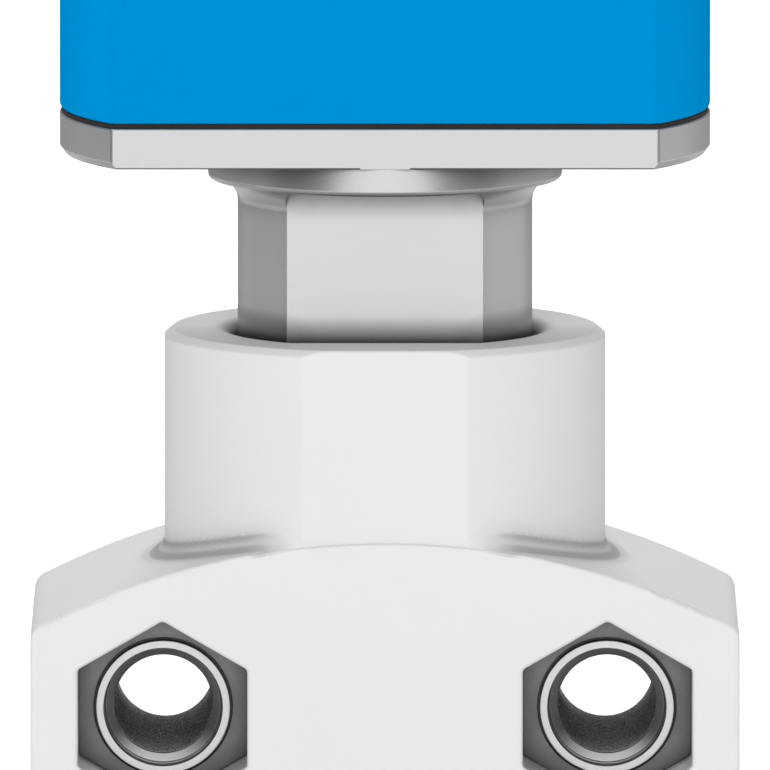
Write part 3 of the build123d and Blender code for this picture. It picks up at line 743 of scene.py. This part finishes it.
@dataclass(frozen=True)
class SoftSeal(Finish):
    """Rubber or soft plastic, matte and slightly dusty."""

    name: str
    colour: Colour
    roughness: float = 0.75
    grain: float = 0.2 * MM
    drift: float = 4.0 * MM
    bloom_gain: float = 1.5
    bloom_lift: float = 0.01
    uneven: float = 0.1
    uneven_span: Span = (0.2, 0.8)
    sheen_level: float = 0.3
    relief: float = 0.004 * MM
    edge_radius: float = 0.1 * MM

    def wire(self, work: Tree, shader: Node, effects: Effects) -> None:
        """Build the rubber: matte, with a little pale bloom."""
        speckle = work.use(effects.speckle, Grain_Size=self.grain, Drift_Size=self.drift)
        bloom = scaled(self.colour, self.bloom_gain, self.bloom_lift)
        work.link(work.blend(speckle.outputs["Drift"], self.colour, bloom),
                  shader.inputs["Base Color"])
        limits = (self.roughness - self.uneven, self.roughness + self.uneven)
        self.roughen(work, shader, speckle.outputs["Grain"], limits, self.uneven_span)
        shader.inputs["Specular IOR Level"].default_value = self.sheen_level
        self.bump(work, shader, speckle.outputs["Grain"], self.relief, self.edge_radius)


@dataclass(frozen=True)
class InsertSteel(Finish):
    """Dark hexagonal insert with a bright turned ring whose edges carry a painted highlight,
    painted shade in its bore, and a lead-in painted bright at its foot and darker up its sides.
    """

    name: str
    centre: tuple[float, float]
    dark: Colour
    bright: Colour
    # Painted shade: the tone inside the bore.
    bore: Colour
    ring_inner: float
    ring_outer: float
    ring_depth: float
    mouth_low: float
    lead_in: float
    lead: Colour
    cone: float = 0.3
    # Painted shade: share of the lead-in's bright tone left up its sides.
    lead_side_shade: float = 0.3
    # Painted shade in corners and near other pieces.
    painted_shade: PaintedShade = PaintedShade(2.2 * MM, 1.2, 0.2)
    soft: float = 0.03 * MM
    grain: float = 0.12 * MM
    drift: float = 4.0 * MM
    dull: float = 0.8
    # Span over which the lead-in's painted light at its foot fades to its sides.
    lit_foot_span: Span = (0.45, 0.95)
    roughness: Span = (0.34, 0.46)
    # Reach of the painted highlight along the ring's edges.
    ring_edge: float = 0.08 * MM
    relief: float = 0.003 * MM
    edge_radius: float = 0.1 * MM

    def _ring(self, work: Tree, radius: Socket, depth: Socket) -> Socket:
        """Mask of the turned ring, by distance from the port's axis and by depth."""
        inside = work.ramp(radius, self.ring_outer + self.soft, self.ring_outer - self.soft)
        outside = work.ramp(radius, self.ring_inner + self.soft,
                            self.ring_inner + 2 * self.soft)
        deep = work.ramp(depth, self.ring_depth, self.ring_depth + 2 * self.soft)
        return work.product(inside, outside, work.math("SUBTRACT", 1.0, deep))

    def _lead(self, work: Tree, depth: Socket) -> Socket:
        """Mask of the lead-in's depth, from the port's mouth down to the thread."""
        low = self.mouth_low + self.lead_in
        start = work.ramp(depth, self.mouth_low - self.soft, self.mouth_low)
        return work.product(start, work.ramp(depth, low + self.soft, low))

    def wire(self, work: Tree, shader: Node, effects: Effects) -> None:
        """Build the insert: zones by distance from the port's axis and by depth."""
        place = work.split("ShaderNodeTexCoord", "Object")
        off_x = work.math("SUBTRACT", place.outputs["X"], self.centre[0])
        off_z = work.math("SUBTRACT", place.outputs["Z"], self.centre[1])
        radius = work.distance(off_x, off_z)
        ring = self._ring(work, radius, place.outputs["Y"])
        within = work.ramp(radius, self.ring_inner + 2 * self.soft, self.ring_inner + self.soft)
        lead = work.product(self._lead(work, place.outputs["Y"]), within)
        marks = work.use(effects.speckle, Grain_Size=self.grain, Drift_Size=self.drift)
        tone = work.blend(marks.outputs["Drift"], scaled(self.dark, self.dull), self.dark)
        # Painted shade: the bore is drawn darker than the insert's face.
        tone = work.blend(within, tone, self.bore)
        # Painted shade drawn into the insert's tone.
        tone = self.painted_shade.shade(work, effects, tone, self.dark)
        # Painted light and shade: the lead-in is bright at its foot, where it faces up, and darker
        # up its sides.
        foot = work.math("DIVIDE", off_z, work.product(radius, -1.0))
        side = scaled(self.lead, self.lead_side_shade)
        tone = work.blend(lead, tone, work.blend(work.ramp(foot, *self.lit_foot_span), side, self.lead))
        # Painted highlight: the ring's edges are drawn towards white.
        edge = work.use(effects.rounding, Reach=self.ring_edge)
        painted_ring_highlight = work.blend(edge.outputs["Edge"], self.bright, WHITE)
        work.link(work.blend(ring, tone, painted_ring_highlight), shader.inputs["Base Color"])
        self.roughen(work, shader, marks.outputs["Grain"], self.roughness)
        shader.inputs["Metallic"].default_value = 1.0
        scale = work.product(work.math("DIVIDE", lead, radius), self.cone)
        lean = work.add("ShaderNodeCombineXYZ")
        work.link(work.product(off_x, scale), lean.inputs["X"])
        work.link(work.product(off_z, scale), lean.inputs["Z"])
        self.bump(work, shader, marks.outputs["Grain"], self.relief, self.edge_radius,
                  lean.outputs["Vector"])


BLACK_SCREWS = BareMetal("black screws", (0.06, 0.06, 0.065), 0.42, Lay.BLASTED)
BLACK_RUBBER = SoftSeal("black rubber", (0.015, 0.015, 0.016))


@dataclass
class Workshop:
    """What every sub-assembly needs: the fixed frame and the shared effects."""

    frame: dict
    effects: Effects
    made: list[bpy.types.Object] = field(default_factory=list)

    def dress(self, finish: Finish, *nodes: str) -> None:
        """Give nodes of the frame a finish.

        Args:
            finish: The finish to use.
            nodes: The nodes' names.
        """
        material = finish.material(self.effects)
        for name in nodes:
            slots = self.frame["nodes"][name].data.materials
            slots.clear()
            slots.append(material)
            log.info("%s has %s", name, material.name)

    def piece(self, name: str, mesh: bmesh.types.BMesh, body: str, slot: str,
              finish: Finish) -> bpy.types.Object:
        """Turn a mesh into a named piece that rides on a body.

        Args:
            name: The piece's name.
            mesh: The mesh, which is used up.
            body: The body that it rides on, or nothing for a piece that spans two.
            slot: The record's material slot; not used.
            finish: Its finish.

        Returns:
            The new object.
        """
        data = bpy.data.meshes.new(name)
        mesh.to_mesh(data)
        mesh.free()
        for polygon in data.polygons:
            polygon.use_smooth = True
        made = stand(name, data)
        data.materials.append(finish.material(self.effects))
        if body:
            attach(made, body)
        self.made.append(made)
        log.info("%s rides on %s", name, body or "two bodies")
        return made


@dataclass(frozen=True)
class Thread:
    """Internal screw thread: a ridge that winds along the wall of a tapped hole.

    The root and the flat are half widths of the ridge at its foot and top, as shares of
    the pitch. The skin is how far its foot reaches into the wall. At each end the ridge
    runs out over part of a turn, to the least shares of its height and width.
    """

    wall: float
    crest: float
    pitch: float
    length: float
    steps: int = 40
    root: float = 0.15
    flat: float = 0.05
    skin: float = 0.05 * MM
    run_out: float = 1 / 3
    least_height: float = 0.02
    least_width: float = 0.05

    def mesh(self, place: Matrix) -> bmesh.types.BMesh:
        """Build the ridge as one closed band with rounded-off ends.

        Args:
            place: Where the hole's mouth is; its own Z points out of the hole.

        Returns:
            The mesh, in the model's frame.
        """
        made = bmesh.new()
        root = self.pitch * self.root
        flat = self.pitch * self.flat
        foot = self.wall + self.skin
        section = ((foot, root), (self.wall, root), (self.crest, flat),
                   (self.crest, -flat), (self.wall, -root), (foot, -root))
        turns = max(1.0, (self.length - self.pitch) / self.pitch)
        count = int(turns * self.steps)
        ends = self.steps * self.run_out
        loops = []
        for step in range(count + 1):
            angle = 2 * math.pi * step / self.steps
            level = -self.pitch / 2 - self.pitch * step / self.steps
            fade = min(1.0, step / ends, (count - step) / ends)
            loop = []
            for radius, offset in section:
                reach = self.wall + (radius - self.wall) * max(fade, self.least_height)
                height = level + offset * max(fade, self.least_width)
                point = Vector((reach * math.cos(angle), reach * math.sin(angle), height))
                loop.append(made.verts.new(place @ point))
            loops.append(loop)
        close_tube(made, loops)
        return made


@dataclass(frozen=True)
class Coil:
    """Round-wire compression spring with one closed turn at each end.

    The packing is the rise of a closed turn, as a share of the wire's thickness.
    """

    radius: float
    wire: float
    turns: float
    low: float
    high: float
    steps: int = 48
    sides: int = 12
    packing: float = 1.02

    def level(self, turn: float) -> float:
        """Give the wire's height after some turns from the lower end.

        Args:
            turn: Turns from the lower end.

        Returns:
            The height of the wire's centre.
        """
        closed = self.wire * self.packing
        bottom = self.low + self.wire / 2
        top = self.high - self.wire / 2
        if turn <= 1:
            return bottom + closed * turn
        if turn >= self.turns - 1:
            return top - closed * (self.turns - turn)
        share = (turn - 1) / (self.turns - 2)
        return bottom + closed + share * (top - bottom - 2 * closed)

    def mesh(self) -> bmesh.types.BMesh:
        """Sweep the wire's round section along the coil.

        Returns:
            The mesh, in the model's frame.
        """
        made = bmesh.new()
        rise = Vector((0, 0, self.wire / 2))
        loops = []
        for step in range(int(self.turns * self.steps) + 1):
            turn = step / self.steps
            angle = 2 * math.pi * turn
            out = Vector((math.cos(angle), math.sin(angle), 0))
            centre = out * self.radius + Vector((0, 0, self.level(turn)))
            loop = []
            for side in range(self.sides):
                round_wire = 2 * math.pi * side / self.sides
                point = centre + out * (self.wire / 2 * math.cos(round_wire))
                loop.append(made.verts.new(point + rise * math.sin(round_wire)))
            loops.append(loop)
        close_tube(made, loops)
        return made


@dataclass
class Head:
    """Plate, blue housing, gasket and base plate, with the neck under them."""

    work: Workshop
    # The plate, stem and blue coat carry painted shade in corners and near other pieces; the plate
    # and stem also on faces that look down.
    plate: BareMetal = BareMetal("plate aluminium", linear(210, 210, 211), 0.36,
                                 contrast=0.01, uneven=0.012, relief=0.0005 * MM,
                                 painted_shade=PaintedShade(2.5 * MM, 2.0, 0.08, under=0.4))
    neck: BareMetal = BareMetal("stem aluminium", linear(210, 210, 210), 0.34, contrast=0.004,
                                uneven=0.006, relief=0.0002 * MM,
                                painted_shade=PaintedShade(2.8 * MM, 2.2, 0.06, under=0.42))
    blue: SatinCoat = SatinCoat("blue coat", (0.0, 0.279, 0.668), 0.7, 0.0, side_light=0.2,
                                painted_shade=PaintedShade(1.0 * MM, 1.0, 0.4))
    gasket: SoftSeal = SoftSeal("black gasket", (0.012, 0.012, 0.013))
    screws: BareMetal = BLACK_SCREWS
    zinc: BareMetal = BareMetal("zinc screws", (0.55, 0.56, 0.57), 0.35, Lay.BLASTED)
    spring: BareMetal = BareMetal("spring wire", (0.40, 0.40, 0.41), 0.3)
    wire: float = 1.4 * MM
    turns: float = 6.5
    closed_share: float = 1.5
    robot_circle: float = 31.5 * MM
    robot_holes: int = 4
    first_hole: float = 45.0
    tap_radius: float = 2.1 * MM
    crest_radius: float = 2.0 * MM
    tap_pitch: float = 0.8 * MM

    def build(self) -> None:
        """Dress the head, wind the threads of the robot's bolt circle and the spring."""
        work = self.work
        work.dress(self.plate, "mounting_plate", "base_plate")
        work.dress(self.neck, "stem")
        work.dress(self.blue, "head_housing")
        work.dress(self.gasket, "head_gasket")
        work.dress(self.screws, "mounting_screws", "stem_screws")
        work.dress(self.zinc, "base_screws", "preload_plug")
        work.dress(self.spring, "compensation_spring")
        low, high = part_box("mounting_plate")
        thread = Thread(self.tap_radius, self.crest_radius, self.tap_pitch, high.z - low.z)
        for number in range(self.robot_holes):
            angle = math.radians(self.first_hole + 360 / self.robot_holes * number)
            at = Vector((math.cos(angle), math.sin(angle), 0)) * self.robot_circle / 2
            at.z = high.z
            mesh = thread.mesh(Matrix.Translation(at))
            work.piece(f"robot_thread_{number + 1}", mesh, "head", "plate_aluminium", self.plate)
        self._coil()

    def _coil(self) -> None:
        """Wind the neck's spring as a coil on no body, and hide the solid one."""
        low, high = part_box("compensation_spring")
        radius = (high.x - low.x - self.wire) / 2
        coil = Coil(radius, self.wire, self.turns, low.z, high.z)
        made = self.work.piece("spring_coil", coil.mesh(), "", "spring_steel", self.spring)
        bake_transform(made)
        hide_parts("compensation_spring")


@dataclass
class GripperBody:
    """Pale housing with its liner, stop screw, cylinder and jaw guide."""

    work: Workshop
    # The coat carries painted shade in corners, in the bore round the stem and in the fillet at the
    # collar's foot.
    coat: SatinCoat = SatinCoat("pale grey coat", linear(234, 234, 234), 0.5, 0.3,
                                grain=0.35 * MM, relief=0.006 * MM, edge_radius=0.35 * MM,
                                painted_shade=PaintedShade(3.0 * MM, 2.0, 0.2, wall_share=0.6,
                                                top=-66.0 * MM,
                                                bore=BoreShade(13.3 * MM, -57.3 * MM),
                                                foot=FootShade()))
    liner: BareMetal = BareMetal("bronze liner", (0.30, 0.20, 0.09), 0.4)
    guide: BareMetal = BareMetal("guide aluminium", linear(196, 198, 200), 0.4, Lay.BLASTED)
    steel: BareMetal = BareMetal("honed steel", (0.50, 0.50, 0.51), 0.28)
    screws: BareMetal = BLACK_SCREWS
    seals: SoftSeal = BLACK_RUBBER
    bumpers: SoftSeal = SoftSeal("green bumper", (0.03, 0.09, 0.05), 0.5)

    def build(self) -> None:
        """Dress the gripper's housing and what it carries."""
        work = self.work
        work.dress(self.coat, "gripper_housing")
        work.dress(self.liner, "guide_liner")
        work.dress(self.guide, "jaw_guide", "cylinder_cap")
        work.dress(self.steel, "cylinder_sleeve", "guide_dowels")
        work.dress(self.screws, "stop_screw", "guide_screws")
        work.dress(self.seals, "port_seals", "cap_seal", "rod_seal")
        work.dress(self.bumpers, "bumper_upper", "bumper_lower")


@dataclass
class Ports:
    """The two threaded inserts, each with its fine pipe thread."""

    work: Workshop
    dark: Colour = (0.30, 0.30, 0.305)
    bright: Colour = (0.76, 0.765, 0.765)
    # Painted shade: the tone of the insides of the bores.
    bore: Colour = (0.15, 0.15, 0.153)
    lead: Colour = (0.74, 0.74, 0.75)
    ridge: BareMetal = BareMetal("thread steel", (0.75, 0.75, 0.76), 0.3, Lay.BLASTED,
                                 relief=0.0005 * MM, edge_radius=0.05 * MM)
    ring_inner: float = 5.1 * MM
    ring_outer: float = 5.75 * MM
    ring_proud: float = 0.6 * MM
    mouth: float = 1.7 * MM
    lead_in: float = 0.6 * MM
    wall: float = 4.3 * MM
    crest: float = 4.2 * MM
    pitch: float = 0.907 * MM
    thread_steps: int = 72

    def build(self) -> None:
        """Dress both inserts and wind their threads."""
        for name in ("port_insert_left", "port_insert_right"):
            low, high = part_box(name)
            centre = ((low.x + high.x) / 2, (low.z + high.z) / 2)
            floor = low.y + self.mouth
            finish = InsertSteel(f"{name} steel", centre, self.dark, self.bright, self.bore,
                                 self.ring_inner, self.ring_outer, low.y + self.ring_proud,
                                 floor, self.lead_in, self.lead)
            self.work.dress(finish, name)
            thread = Thread(self.wall, self.crest, self.pitch,
                            high.y - floor - self.lead_in, self.thread_steps)
            mouth = Vector((centre[0], floor + self.lead_in / 2, centre[1]))
            place = Matrix.Translation(mouth) @ Matrix.Rotation(math.pi / 2, 4, "X")
            self.work.piece(name.replace("insert", "thread"), thread.mesh(place), "gripper",
                            "insert_steel", self.ridge)


@dataclass
class Motion:
    """Piston, wedge and jaws, with the threads for the gripping fingers."""

    work: Workshop
    steel: BareMetal = BareMetal("jaw steel", (0.33, 0.33, 0.34), 0.32, Lay.MILLED)
    wedge: BareMetal = BareMetal("wedge steel", (0.42, 0.42, 0.43), 0.28, Lay.MILLED)
    piston: BareMetal = BareMetal("piston aluminium", (0.62, 0.62, 0.63), 0.34)
    screws: BareMetal = BLACK_SCREWS
    seals: SoftSeal = BLACK_RUBBER
    magnet: SoftSeal = SoftSeal("bonded magnet", (0.04, 0.04, 0.045), 0.6)
    tap_radius: float = 1.65 * MM
    crest_radius: float = 1.57 * MM
    tap_pitch: float = 0.7 * MM
    tap_depth: float = 6.0 * MM
    tap_end: float = 3.5 * MM
    tap_spacing: float = 10.0 * MM

    def build(self) -> None:
        """Dress the moving pieces and wind the jaws' threads."""
        work = self.work
        work.dress(self.steel, "base_jaw_left", "base_jaw_right")
        work.dress(self.wedge, "wedge_rod")
        work.dress(self.piston, "piston")
        work.dress(self.screws, "piston_screw")
        work.dress(self.seals, "piston_seal")
        work.dress(self.magnet, "piston_magnet")
        thread = Thread(self.tap_radius, self.crest_radius, self.tap_pitch, self.tap_depth)
        for side, body in ((-1, "jaw_left"), (1, "jaw_right")):
            low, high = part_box(f"base_{body}")
            outer = max(abs(low.x), abs(high.x)) - self.tap_end
            for number, inset in enumerate((0.0, self.tap_spacing), start=1):
                at = Vector((side * (outer - inset), 0, low.z))
                place = Matrix.Translation(at) @ Matrix.Rotation(math.pi, 4, "X")
                work.piece(f"{body}_thread_{number}", thread.mesh(place), body, "jaw_steel",
                           self.steel)


@dataclass(frozen=True)
class Lamp:
    """Square soft lamp: its place, its side in metres and its power in watts."""

    name: str
    place: tuple[float, float, float]
    size: float
    power: float


@dataclass(frozen=True)
class Card:
    """Grey card that only reflections see, to give round metal its darker sides."""

    name: str
    turn: float
    width: float
    tone: float
    distance: float = 0.4
    height: float = 1.2


@dataclass
class Studio:
    """Pale floor, white surroundings, soft lamps and grey cards that metal reflects."""

    floor_level: float
    floor_size: float = 8.0
    floor_tone: float = 0.93
    floor_lift: float = 0.16
    ambient: float = 0.5
    lamp_aim: tuple[float, float, float] = (0.0, 0.0, -0.07)
    lamps: tuple[Lamp, ...] = (
        Lamp("front lamp", (-0.1, -1.25, 0.42), 0.7, 7.2),
        Lamp("rear lamp", (0.0, 1.05, 0.7), 0.5, 9.2),
    )
    cards: tuple[Card, ...] = (
        Card("front card", 0, 0.36, 1.2),
        Card("left front card", -55, 0.34, 0.04),
        Card("left side card", -107, 0.45, 0.34),
        Card("back card", 180, 0.75, 0.30),
        Card("right side card", 107, 0.45, 0.53),
        Card("right front card", 55, 0.34, 0.17),
    )

    def build(self) -> None:
        """Build the floor, the world, the lamps and the cards."""
        self._world()
        self._floor()
        for lamp in self.lamps:
            self._lamp(lamp)
        for card in self.cards:
            self._card(card)

    def _world(self) -> None:
        """White for the camera and for reflections, softer for the light it gives."""
        world = bpy.data.worlds.new("studio")
        world.use_nodes = True
        bpy.context.scene.world = world
        work = Tree(world.node_tree)
        seen = work.seen_by("Is Camera Ray", "Is Glossy Ray", "Is Transmission Ray")
        strength = work.math("ADD", self.ambient, work.product(seen, 1.0 - self.ambient))
        background = work.add("ShaderNodeBackground")
        background.inputs["Color"].default_value = (*WHITE, 1.0)
        work.link(strength, background.inputs["Strength"])
        work.surface(background.outputs[0], "ShaderNodeOutputWorld")

    def _floor(self) -> None:
        """Large pale floor that keeps the object's shadow."""
        mesh = bpy.data.meshes.new("floor")
        half = self.floor_size / 2
        corners = [(-half, -half), (half, -half), (half, half), (-half, half)]
        mesh.from_pydata([(x, y, self.floor_level) for x, y in corners], [], [(0, 1, 2, 3)])
        floor = stand("floor", mesh)
        material = bpy.data.materials.new("floor white")
        material.use_nodes = True
        work = Tree(material.node_tree)
        diffuse = work.add("ShaderNodeBsdfDiffuse")
        diffuse.inputs["Color"].default_value = (self.floor_tone,) * 3 + (1.0,)
        glow = work.add("ShaderNodeEmission")
        seen = work.seen_by("Is Camera Ray", "Is Glossy Ray")
        work.link(work.product(seen, self.floor_lift), glow.inputs["Strength"])
        both = work.add("ShaderNodeAddShader")
        work.link(diffuse.outputs[0], both.inputs[0])
        work.link(glow.outputs[0], both.inputs[1])
        work.surface(both.outputs[0])
        mesh.materials.append(material)
        floor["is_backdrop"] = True

    def _lamp(self, lamp: Lamp) -> None:
        """Hang a lamp that points at the object.

        Args:
            lamp: The lamp's place, size and power.
        """
        data = bpy.data.lights.new(lamp.name, "AREA")
        data.shape = "SQUARE"
        data.size = lamp.size
        data.energy = lamp.power
        hung = stand(lamp.name, data)
        hung.location = lamp.place
        aim = Vector(self.lamp_aim) - Vector(lamp.place)
        hung.rotation_euler = aim.to_track_quat("-Z", "Y").to_euler()
        hung.visible_camera = False
        hung.visible_glossy = False

    def _card(self, card: Card) -> None:
        """Stand a card on the floor, its face to the object.

        Args:
            card: The card's size, tone and bearing from the front, in degrees.
        """
        mesh = bpy.data.meshes.new(card.name)
        half = card.width / 2
        corners = [(-half, 0, 0), (half, 0, 0), (half, 0, card.height), (-half, 0, card.height)]
        mesh.from_pydata(corners, [], [(0, 1, 2, 3)])
        stood = stand(card.name, mesh)
        turn = math.radians(card.turn)
        stood.location = (card.distance * math.sin(turn), -card.distance * math.cos(turn),
                          self.floor_level)
        stood.rotation_euler = (0, 0, turn)
        material = bpy.data.materials.new(f"{card.name} grey")
        material.use_nodes = True
        work = Tree(material.node_tree)
        glow = work.add("ShaderNodeEmission")
        glow.inputs["Strength"].default_value = card.tone
        work.surface(glow.outputs[0])
        mesh.materials.append(material)
        stood.visible_camera = False
        stood.visible_diffuse = False
        stood.visible_shadow = False
        stood.visible_transmission = False
        stood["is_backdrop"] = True


@dataclass
class PhotoCamera:
    """Long lens a little above the object, straight at its front."""

    sensor: float = 36.0
    image_side: float = 770.0
    focal_pixels: float = 30100.0
    pixel: float = 0.0862 * MM
    pitch: float = 6.99
    below_rim: float = 5.09 * MM
    clip_start: float = 0.1
    clip_end: float = 50.0

    def build(self) -> None:
        """Place the camera so that the collar's rim falls where the photo has it."""
        data = bpy.data.cameras.new("photo camera")
        data.sensor_width = self.sensor
        data.lens = self.sensor * self.focal_pixels / self.image_side
        data.clip_start = self.clip_start
        data.clip_end = self.clip_end
        camera = stand("photo camera", data)
        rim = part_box("gripper_housing")[1].z
        aim = Vector((0, 0, rim - self.below_rim))
        tilt = math.radians(self.pitch)
        look = Vector((0, math.cos(tilt), -math.sin(tilt)))
        distance = self.focal_pixels * self.pixel
        camera.location = aim - look * distance
        camera.rotation_euler = look.to_track_quat("-Z", "Y").to_euler()
        bpy.context.scene.camera = camera


def main() -> None:
    """Build the camera, the sub-assemblies and the studio in order."""
    logging.basicConfig(level=logging.INFO)
    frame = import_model()
    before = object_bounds()
    bpy.context.scene.view_settings.view_transform = "Standard"
    PhotoCamera().build()
    work = Workshop(frame, Effects())
    for assembly in (Head(work), GripperBody(work), Ports(work), Motion(work)):
        assembly.build()
    Studio(floor_level=before[0].z).build()
    log.info("%d pieces added to %d nodes", len(work.made), len(frame["nodes"]))


if __name__ == "__main__":
    main()
